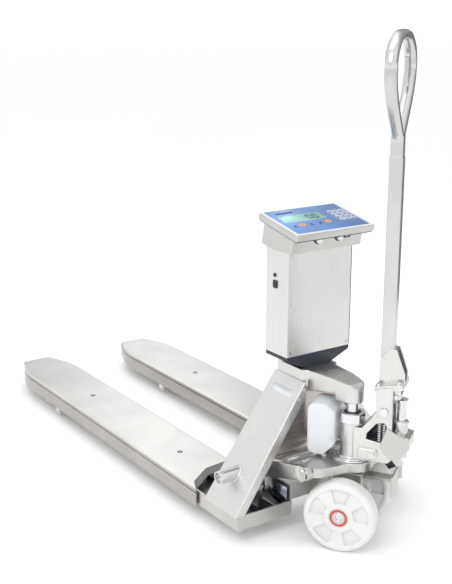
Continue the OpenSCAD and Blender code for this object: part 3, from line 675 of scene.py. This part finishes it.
def leg_details():
    """For each leg a blank label, two bolts on its fold, a weld round the torsion shaft and painted shade inside
    the heel.
    """
    down = Vector((0, math.cos(LEG_SLOPE), -math.sin(LEG_SLOPE)))
    out = Vector((0, math.sin(LEG_SLOPE), math.cos(LEG_SLOPE)))
    head = Vector((0, 60, 372))
    sheet = Matrix.Translation(head) @ Matrix((Vector((1, 0, 0)), down, out)).transposed().to_4x4()
    for side, space in SIDES:
        label = prism(rounded(rect(134, 26, 216, 46), 1.5), "z", -0.2, 0.35)
        piece(f"leg_label_{side}", label, space @ sheet, "chassis", "tank")
        for number, along in enumerate((14, 40)):
            place = head + down * along - out * 12
            centre = (0, place.y, place.z)
            washer = lathe(drum(7.5, 112.6, 116), centre, "x", 40)
            hexagon = lathe(drum(5.4, 109, 113), centre, "x", 6)
            piece(f"leg_bolt_{side}_{number}", merge(washer, hexagon), space, "chassis", "bolt", edge=0.7)
        weld = bar(tube_seam(), 2.6, 2.6, out, steps=10, closed=True)
        piece(f"tube_weld_{side}", weld, space, "chassis", "leg")
        # A near-black floor and wall inside the fork's heel stand for its shade: painted shade.
        heel_floor = prism(rect(103, 120, 262, 264), "z", 43, 43.6)
        heel_wall = prism(rect(103, 46, 240, 112), "y", 117, 117.8)
        piece(f"heel_shade_{side}", merge(heel_floor, heel_wall), space, "chassis", "crease_and_heel_shade")
        plug = lathe(drum(13.4, 258, 263), (TORSION_X, 0, TORSION_Z), "y", 48)
        piece(f"tube_plug_{side}", plug, space, "crank", "leg", edge=0.5)


def base_pin_ends():
    """A washer and a bolt head on each pin that a crank arm bears on."""
    pin = (5.5, 0, 197)
    for side, space in SIDES:
        washer = lathe(band(7, 20.5, 153.4, 155.6), pin)
        bolt = lathe(drum(10.5, 157, 162), pin, "y", 6)
        piece(f"base_pin_washer_{side}", washer, space, "lift_base", "cast", edge=0.7)
        piece(f"base_pin_bolt_{side}", bolt, space, "lift_base", "bolt", edge=0.9)


# ---------- steering wheels ----------

def pocket(turn, low, high):
    """A sector of the wheel's side, between its hub and its rim."""
    hub, rim, spread = 38, 73, 19.5
    angles = [math.radians(turn + spread * (k / 4 - 1)) for k in range(9)]
    outline = [(hub * math.cos(a), hub * math.sin(a)) for a in angles]
    outline += [(rim * math.cos(a), rim * math.sin(a)) for a in reversed(angles)]
    return prism(outline, "y", low, high)


def mirrored(half):
    """A profile's upper half as (radius, height), followed by the same below the middle."""
    return half + [(r, -h) for r, h in reversed(half)]


def wheel(side, sign):
    """A moulded wheel with five pockets in each side, and its sealed bearing."""
    centre = (0, sign * WHEEL_Y, WHEEL_RADIUS)
    half = [(23.6, 22), (27, 24.6), (34, 24.6), (39, 22), (70, 21), (75, 24.2), (80, 24.8), (85.5, 22),
            (88.8, 17), (WHEEL_RADIUS, 10)]
    disc = lathe(mirrored(half), (0, 0, 0), "y", 120)
    pockets = [pocket(72 * k + 21, low, high) for k in range(5) for low, high in ((-40, -15), (15, 40))]
    tread = moulded(cut(disc, *pockets), voxel=1.2, rounds=7)
    body = f"wheel_{side[0]}"
    piece(f"tread_{side}", tread, STEERED @ Matrix.Translation(centre), body, "nylon", [f"wheel_{side}"])
    lipped = [(15.2, -21.6), (22, -21.6), (22.6, -20.8), (22.6, 20.8), (22, 21.6), (15.2, 21.6)]
    seal = lathe(lipped, centre)
    piece(f"seal_{side}", seal, STEERED, body, "seal", [f"wheel_bearing_{side}"], 0.4)
    races = merge(lathe(band(12.7, 15.4, -22.4, 22.4), centre), lathe(band(22.3, 24.2, -22, 22), centre))
    piece(f"races_{side}", races, STEERED, body, "bright", edge=0.4)


def steering_axle():
    """The axle with hollowed ends, and a spacer tube inside each wheel."""
    middle, end = (0, 0, WHEEL_RADIUS), 108.6
    half = [(0, end - 5), (7, end - 5), (8, end), (11.4, end), (12.5, end - 1)]
    shaft = lathe(mirrored(half), middle)
    spacers = [lathe(band(11, 17, low, high), middle) for low, high in ((-60.7, -33.5), (33.5, 60.7))]
    piece("axle", merge(shaft, *spacers), STEERED, "pump", "bright", ["steer_axle"], 0.5)


# ---------- pump unit ----------

def spring(x, y, low, high, radius, wire, pitch):
    """An upright coil spring; wire is the radius of its wire."""
    steps_in_turn = 16
    steps = int(steps_in_turn * (high - low) / pitch)
    path = []
    for k in range(steps + 1):
        turn = math.tau * k / steps_in_turn
        z = low + (high - low) * k / steps
        path.append(Vector((x + radius * math.cos(turn), y + radius * math.sin(turn), z)))
    return bar(path, wire, wire, (0, 0, 1), steps=8)


def cheek_details():
    """What the pump's cheeks carry: a window with two springs behind it and painted shade filling it, a bolted lug
    and side plates.
    """
    window = rounded([(-43, 269), (-45, 286), (-67, 314), (-84, 317), (-92, 311), (-92, 261)], 4)
    # A black block fills the window for the shade inside the pump: painted shade.
    piece("window_shade", prism(window, "y", -24, 9), STEERED, "pump", "foot")
    for number, x in enumerate((-72, -84)):
        coil = spring(x, 18, 263, 311, radius=4.6, wire=1.3, pitch=4.4)
        piece(f"window_spring_{number}", coil, STEERED, "pump", "bright")
    lug = prism(rounded([(-24, 220), (-70, 220), (-74, 246), (-24, 248)], [0, 10, 10, 6]), "y", 24, 37)
    piece("lug", lug, STEERED, "pump", "cast", edge=2.2)
    bolt_place = (-60, 0, 233)
    bolt = merge(lathe(drum(11, 37, 38.6), bolt_place), lathe(drum(7.4, 38.6, 44), bolt_place))
    piece("lug_bolt", bolt, STEERED, "pump", "bolt", edge=0.9)
    plate = rounded([(-76, 256), (-93, 306), (-104, 300), (-118, 291), (-146, 283), (-147, 259), (-126, 234),
                     (-104, 225), (-92, 236)], 4)
    for side, low, high in (("left", 29.5, 34), ("right", -34, -29.5)):
        piece(f"side_plate_{side}", prism(plate, "y", low, high), STEERED, "pump", "sheet", edge=1.4)


def turned_details():
    """Rings round the ram, the plunger and the swivel, and the screw that holds the tank."""
    wiper = lathe([(15.6, 324), (17, 325.6), (21, 325.6), (22.5, 324)], (0, 0, 0), "z")
    piece("ram_wiper", wiper, STEERED, "pump", "black", edge=0.3)
    piece("tank_screw", lathe(drum(4.6, 39.4, 42.6), (42, 0, 264)), STEERED, "pump", "bolt", edge=0.8)
    plunger = (-120, 0, 0)
    lower_ring = lathe(band(11.4, 18.6, 313.2, 317.2), plunger, "z")
    upper_ring = lathe(band(11.4, 16.4, 317.4, 319.8), plunger, "z")
    piece("plunger_rings", merge(lower_ring, upper_ring), STEERED, "pump", "bright", edge=0.7)
    wide_ring = lathe(band(29, 46, 213, 215.4), (0, 0, 0), "z", 96)
    narrow_ring = lathe(band(27, 37, 215, 219.5), (0, 0, 0), "z", 96)
    piece("swivel_rings", merge(wide_ring, narrow_ring), STEERED, "pump", "bright", edge=1.2)


# ---------- tiller ----------

# Where the shaft's middle is in the steered space.
SHAFT_X = -83


def smoothed(path, times):
    """The closed path with its corners cut off, again and again."""
    for _ in range(times):
        path = [p.lerp(q, t) for p, q in zip(path, path[1:] + path[:1]) for t in (0.25, 0.75)]
    return path


def grip_half(f):
    """Half width over the grip at a height fraction, from 0 at its throat to 1 at its top."""
    throat, widest = 16, 118
    swell = throat + (widest - throat) * math.sin(math.radians(min(90, 130 * f))) ** 1.15
    return swell * (1 - 0.55 * ((f - 0.69) / 0.31) ** 2.6 if f > 0.69 else 1)


def grip():
    """A closed loop of oval bar, run together with the neck below it."""
    bar_half, depth_half, low, high, steps = 12.3, 14.6, 991, 1215.5, 24
    right = []
    for k in range(steps + 1):
        share = k / steps
        right.append(Vector((SHAFT_X, bar_half - grip_half(share), low + (high - low) * k / steps)))
    left = [Vector((p.x, -p.y, p.z)) for p in reversed(right)]
    loop = bar(smoothed(right + left, 2), bar_half, depth_half, (1, 0, 0), steps=24, closed=True)
    neck = prism(rounded(rect(SHAFT_X - 15, -13.6, SHAFT_X + 15, 13.6), 5), "z", 948, 1000)
    both = moulded(merge(loop, neck), voxel=1.3, rounds=10)
    piece("grip", both, STEERED, "tiller", "polished", ["tiller_grip"])


def shaft():
    """The square tube and the weld round its foot, which lies on the foot's slanting top."""
    half_x, half_y = 16, 14
    front, back = SHAFT_X + half_x, SHAFT_X - half_x
    outline = rounded(rect(back, -half_y, front, half_y), 4)
    piece("shaft", prism(outline, "z", 405, 949), STEERED, "tiller", "polished", ["tiller_shaft"], 0.4)
    seam = []
    for x, y in rect(back - 1, -half_y - 1, front + 1, half_y + 1):
        seam.append(Vector((x, y, 411.5 + (front - x) * 0.17)))
    weld = bar(smoothed(seam, 2), 2.2, 2.2, (0, 0, 1), steps=10, closed=True)
    piece("shaft_weld", weld, STEERED, "tiller", "cast")


housing()
gasket()
film_and_display()
keypad()
case_front()
column()
for side_name, side_space in SIDES:
    fork(side_name, side_space)
apron()
leg_details()
base_pin_ends()
wheel("left", 1)
wheel("right", -1)
steering_axle()
cheek_details()
turned_details()
grip()
shaft()


# ---------- camera, light and floor ----------

def aim(thing, at):
    """Turns a camera or a light towards a point."""
    thing.rotation_mode = "QUATERNION"
    thing.rotation_quaternion = (Vector(at) - thing.location).to_track_quat("-Z", "Y")


def camera():
    """On the operator's side, to the truck's left, looking slightly down."""
    data = bpy.data.cameras.new("camera")
    data.lens = 64.08
    data.sensor_width = 36
    data.clip_start = 0.05
    data.clip_end = 200
    thing = bpy.data.objects.new("camera", data)
    bpy.context.scene.collection.objects.link(thing)
    thing.location = TRUCK @ Vector((-1781, 1581, 1270))
    turn, down = math.radians(34.18), math.radians(15.28)
    look = Vector((math.cos(turn) * math.cos(down), -math.sin(turn) * math.cos(down), -math.sin(down)))
    aim(thing, thing.location + look)
    bpy.context.scene.camera = thing


def area_light(name, place, at, size, power):
    """A soft rectangular light; lengths are metres and power is watts."""
    data = bpy.data.lights.new(name, "AREA")
    data.shape = "RECTANGLE"
    data.size, data.size_y = size
    data.energy = power
    thing = bpy.data.objects.new(name, data)
    bpy.context.scene.collection.objects.link(thing)
    thing.location = place
    aim(thing, at)


def dark_card():
    """Only mirrored: it darkens the faces turned to the operator's right."""
    bpy.ops.mesh.primitive_plane_add(size=1, location=(-0.35, -2.1, 0.75), rotation=(math.radians(90), 0, 0))
    thing = bpy.context.object
    thing.name = "dark_card"
    thing.scale = (2.4, 1.5, 1)
    material, tree, shader = new_material("dark_card")
    shade = noise(tree, Scale=1.5, Detail=1.0)
    tree.links.new(ramp(tree, shade, [(0.3, 0.16), (0.7, 0.2)]), shader.inputs["Base Color"])
    shader.inputs["Roughness"].default_value = 1.0
    thing.data.materials.append(material)
    thing.visible_camera = False
    thing.visible_diffuse = False
    thing.visible_shadow = False


def studio():
    """A bright room with a darker side, so that steel shows light and shade."""
    world = bpy.data.worlds.new("studio")
    bpy.context.scene.world = world
    world.use_nodes = True
    tree = world.node_tree
    place = tree.nodes.new("ShaderNodeTexCoord")
    towards = tree.nodes.new("ShaderNodeVectorMath")
    towards.operation = "DOT_PRODUCT"
    towards.inputs[1].default_value = (-0.35, 0.75, 0.56)
    tree.links.new(place.outputs["Generated"], towards.inputs[0])
    spread = tree.nodes.new("ShaderNodeMapRange")
    spread.inputs["From Min"].default_value = -1
    spread.inputs["From Max"].default_value = 1
    tree.links.new(towards.outputs["Value"], spread.inputs["Value"])
    stops = [(0.05, 0.30), (0.38, 0.42), (0.55, 0.85), (0.8, 1.0), (1.0, 0.8)]
    sky = ramp(tree, spread.outputs["Result"], stops)
    tree.links.new(sky, tree.nodes["Background"].inputs["Color"])
    tree.nodes["Background"].inputs["Strength"].default_value = 1.28
    middle = (0, 0, 0.4)
    dark_card()
    area_light("key", (-2.0, 2.8, 3.4), middle, (2.2, 2.2), 42)
    area_light("top", (0.2, 0.0, 4.2), middle, (3.0, 3.0), 22)
    area_light("rim", (3.0, -1.6, 2.6), middle, (1.2, 3.0), 9)
    bpy.context.scene.view_settings.view_transform = "Standard"


def floor():
    """A wide pale disc, and a low pale wall where it ends."""
    bpy.ops.mesh.primitive_circle_add(vertices=96, radius=60, fill_type="NGON")
    ground = bpy.context.object
    bpy.ops.mesh.primitive_cylinder_add(vertices=96, radius=59, depth=6, end_fill_type="NOTHING")
    wall = bpy.context.object
    for thing, name, glow in ((ground, "floor", 0.06), (wall, "horizon", 1.0)):
        thing.name = name
        material, tree, shader = new_material(f"pale_{name}")
        shade = noise(tree, Scale=0.6, Detail=2.0)
        tree.links.new(ramp(tree, shade, [(0.3, 0.93), (0.7, 0.95)]), shader.inputs["Base Color"])
        shader.inputs["Roughness"].default_value = 0.6
        shader.inputs["Emission Color"].default_value = (1, 1, 1, 1)
        shader.inputs["Emission Strength"].default_value = glow
        thing.data.materials.append(material)


camera()
studio()
floor()
